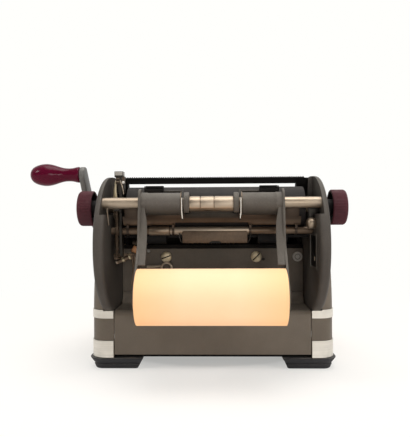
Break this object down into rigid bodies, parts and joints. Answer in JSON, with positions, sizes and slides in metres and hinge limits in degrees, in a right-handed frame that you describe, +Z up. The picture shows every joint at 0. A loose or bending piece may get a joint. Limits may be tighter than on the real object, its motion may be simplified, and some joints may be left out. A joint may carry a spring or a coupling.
{
  "type": "printing adding machine",
  "caption": "Hand-cranked ten-key printing adding machine with a sloping keyboard, rubber platen between round cheeks and a paper roll carried behind it.",
  "frame": {"origin": "on the plane the feet stand on, at the centre of the four holes up through the feet", "axes": "+Z up, +Y to the rear where the paper roll hangs, +X to the operator's right, the crank side"},
  "size_m": [0.2789, 0.3355, 0.1801],
  "materials": {
    "case_paint": "brown-grey fine-textured enamel, semi-matt",
    "cheek_paint": "dark grey fine wrinkle paint, matt",
    "band_metal": "satin aluminium, lightly lacquered",
    "black_rubber": "black moulded rubber, matt",
    "black_paint": "black japanned steel, satin",
    "platen_rubber": "ground black rubber, dull",
    "steel": "aged nickel-plated steel, satin, slightly yellowed",
    "bright_steel": "polished nickel",
    "dark_steel": "blackened oily steel",
    "brass": "dull brass",
    "knob_plastic": "maroon moulded plastic, ribbed, dusty matt",
    "grip_plastic": "deep burgundy glossy plastic",
    "key_plastic": "maroon moulded key tops, satin",
    "key_dark": "dark grey moulded key tops, satin",
    "paper": "cream adding-machine paper, uncoated",
    "cardboard": "grey-brown card core"
  },
  "bodies": {
    "case": {"base_pan": "black_paint", "feet": "black_rubber", "side_shell_right": "case_paint", "side_shell_left": "case_paint", "trim_bands": "band_metal", "cheek_right": "cheek_paint", "cheek_left": "cheek_paint", "rear_panel": "case_paint", "back_plate": "case_paint", "back_plate_screws": "brass", "hood_front": "case_paint", "keyboard_deck": "case_paint", "stem_guide": "dark_steel", "key_springs": "bright_steel", "front_panel": "case_paint", "side_frames": "dark_steel", "tie_rods": "steel", "paper_rod": "bright_steel", "rod_collars": "steel", "tear_bar": "black_paint", "paper_pans": "steel", "feed_shaft": "steel", "feed_bracket": "steel", "bail_fingers": "steel", "lever_spring": "steel", "spring_anchor": "steel", "guide_stud": "bright_steel", "crank_bush": "brass"},
    "ribbon_cover": {"ribbon_cover": "case_paint"},
    "platen": {"platen": "platen_rubber", "platen_shaft": "steel", "platen_knobs": "knob_plastic", "ratchet_wheel": "steel"},
    "pressure_rollers": {"pressure_rollers": "platen_rubber"},
    "bail_rollers": {"bail_rollers": "platen_rubber"},
    "roll_holder": {"roll_arm_right": "cheek_paint", "roll_arm_left": "cheek_paint"},
    "paper_roll": {"paper_core": "cardboard", "paper_roll": "paper"},
    "release_lever": {"release_lever": "steel"},
    "crank": {"crank_arm": "cheek_paint", "crank_shaft": "steel"},
    "crank_grip": {"crank_grip": "grip_plastic"},
    "type_sectors": {"type_sectors": "dark_steel"},
    "register_wheels": {"register_wheels": "brass"},
    "pin_carriage": {"pin_carriage": "dark_steel"},
    "key_0": {"key_0": "key_plastic"},
    "key_1": {"key_1": "key_plastic"},
    "key_2": {"key_2": "key_plastic"},
    "key_3": {"key_3": "key_plastic"},
    "key_4": {"key_4": "key_plastic"},
    "key_5": {"key_5": "key_plastic"},
    "key_6": {"key_6": "key_plastic"},
    "key_7": {"key_7": "key_plastic"},
    "key_8": {"key_8": "key_plastic"},
    "key_9": {"key_9": "key_plastic"},
    "key_total": {"key_total": "key_dark"},
    "key_subtotal": {"key_subtotal": "key_dark"},
    "key_subtract": {"key_subtract": "key_dark"},
    "key_repeat": {"key_repeat": "key_dark"}
  },
  "joints": [
    {"name": "ribbon_cover_hinge", "type": "hinge", "parent": "case", "child": "ribbon_cover", "pos_m": [0, 0.062, 0.1565], "axis": [1, 0, 0], "range_deg": [0, 60]},
    {"name": "platen_turn", "type": "hinge", "parent": "case", "child": "platen", "pos_m": [0, 0.123, 0.1393], "axis": [1, 0, 0], "continuous": true},
    {"name": "pressure_roller_turn", "type": "hinge", "parent": "case", "child": "pressure_rollers", "pos_m": [0, 0.116, 0.1149], "axis": [1, 0, 0], "continuous": true},
    {"name": "bail_roller_turn", "type": "hinge", "parent": "case", "child": "bail_rollers", "pos_m": [0, 0.14026, 0.15278], "axis": [1, 0, 0], "continuous": true},
    {"name": "roll_holder_swing", "type": "hinge", "parent": "case", "child": "roll_holder", "pos_m": [0, 0.1504, 0.1433], "axis": [1, 0, 0], "range_deg": [0, 35]},
    {"name": "paper_roll_spin", "type": "hinge", "parent": "roll_holder", "child": "paper_roll", "pos_m": [0, 0.182, 0.0705], "axis": [1, 0, 0], "continuous": true},
    {"name": "release_lever_tilt", "type": "hinge", "parent": "case", "child": "release_lever", "pos_m": [0, 0.136, 0.1198], "axis": [1, 0, 0], "range_deg": [0, 12], "stiffness_Nm_per_rad": 1.2, "springref_deg": -5.73, "deforming": ["lever_spring"]},
    {"name": "crank_pull", "type": "hinge", "parent": "case", "child": "crank", "pos_m": [0, 0.055, 0.105], "axis": [1, 0, 0], "range_deg": [0, 95], "stiffness_Nm_per_rad": 1, "springref_deg": -28.65},
    {"name": "crank_grip_spin", "type": "hinge", "parent": "crank", "child": "crank_grip", "pos_m": [0, 0.10964, 0.17011], "axis": [1, 0, 0], "continuous": true},
    {"name": "type_sector_swing", "type": "hinge", "parent": "case", "child": "type_sectors", "pos_m": [0, 0.05, 0.062], "axis": [1, 0, 0], "range_deg": [-20, 0]},
    {"name": "register_turn", "type": "hinge", "parent": "case", "child": "register_wheels", "pos_m": [0, 0.029, 0.09837], "axis": [1, 0, 0], "range_deg": [0, 75]},
    {"name": "pin_carriage_step", "type": "slide", "parent": "case", "child": "pin_carriage", "axis": [-1, 0, 0], "range_m": [0, 0.04]},
    {"name": "key_0_press", "type": "slide", "parent": "case", "child": "key_0", "axis": [0, 0.4031, -0.9152], "range_m": [0, 0.004], "stiffness_N_per_m": 120, "springref_m": -0.004, "deforming": ["key_springs"]},
    {"name": "key_1_press", "type": "slide", "parent": "case", "child": "key_1", "axis": [0, 0.4031, -0.9152], "range_m": [0, 0.004], "stiffness_N_per_m": 120, "springref_m": -0.004, "deforming": ["key_springs"]},
    {"name": "key_2_press", "type": "slide", "parent": "case", "child": "key_2", "axis": [0, 0.4031, -0.9152], "range_m": [0, 0.004], "stiffness_N_per_m": 120, "springref_m": -0.004, "deforming": ["key_springs"]},
    {"name": "key_3_press", "type": "slide", "parent": "case", "child": "key_3", "axis": [0, 0.4031, -0.9152], "range_m": [0, 0.004], "stiffness_N_per_m": 120, "springref_m": -0.004, "deforming": ["key_springs"]},
    {"name": "key_4_press", "type": "slide", "parent": "case", "child": "key_4", "axis": [0, 0.4031, -0.9152], "range_m": [0, 0.004], "stiffness_N_per_m": 120, "springref_m": -0.004, "deforming": ["key_springs"]},
    {"name": "key_5_press", "type": "slide", "parent": "case", "child": "key_5", "axis": [0, 0.4031, -0.9152], "range_m": [0, 0.004], "stiffness_N_per_m": 120, "springref_m": -0.004, "deforming": ["key_springs"]},
    {"name": "key_6_press", "type": "slide", "parent": "case", "child": "key_6", "axis": [0, 0.4031, -0.9152], "range_m": [0, 0.004], "stiffness_N_per_m": 120, "springref_m": -0.004, "deforming": ["key_springs"]},
    {"name": "key_7_press", "type": "slide", "parent": "case", "child": "key_7", "axis": [0, 0.4031, -0.9152], "range_m": [0, 0.004], "stiffness_N_per_m": 120, "springref_m": -0.004, "deforming": ["key_springs"]},
    {"name": "key_8_press", "type": "slide", "parent": "case", "child": "key_8", "axis": [0, 0.4031, -0.9152], "range_m": [0, 0.004], "stiffness_N_per_m": 120, "springref_m": -0.004, "deforming": ["key_springs"]},
    {"name": "key_9_press", "type": "slide", "parent": "case", "child": "key_9", "axis": [0, 0.4031, -0.9152], "range_m": [0, 0.004], "stiffness_N_per_m": 120, "springref_m": -0.004, "deforming": ["key_springs"]},
    {"name": "key_total_press", "type": "slide", "parent": "case", "child": "key_total", "axis": [0, 0.4031, -0.9152], "range_m": [0, 0.004], "stiffness_N_per_m": 120, "springref_m": -0.004, "deforming": ["key_springs"]},
    {"name": "key_subtotal_press", "type": "slide", "parent": "case", "child": "key_subtotal", "axis": [0, 0.4031, -0.9152], "range_m": [0, 0.004], "stiffness_N_per_m": 120, "springref_m": -0.004, "deforming": ["key_springs"]},
    {"name": "key_subtract_press", "type": "slide", "parent": "case", "child": "key_subtract", "axis": [0, 0.4031, -0.9152], "range_m": [0, 0.004], "stiffness_N_per_m": 120, "springref_m": -0.004, "deforming": ["key_springs"]},
    {"name": "key_repeat_press", "type": "slide", "parent": "case", "child": "key_repeat", "axis": [0, 0.4031, -0.9152], "range_m": [0, 0.004], "stiffness_N_per_m": 120, "springref_m": -0.004, "deforming": ["key_springs"]}
  ],
  "couplings": [
    {"joint": "pressure_roller_turn", "follows": "platen_turn", "ratio": -2.6377},
    {"joint": "bail_roller_turn", "follows": "platen_turn", "ratio": -5.3529},
    {"joint": "type_sector_swing", "follows": "crank_pull", "ratio": -0.21053},
    {"joint": "register_turn", "follows": "crank_pull", "ratio": 0.77193}
  ]
}
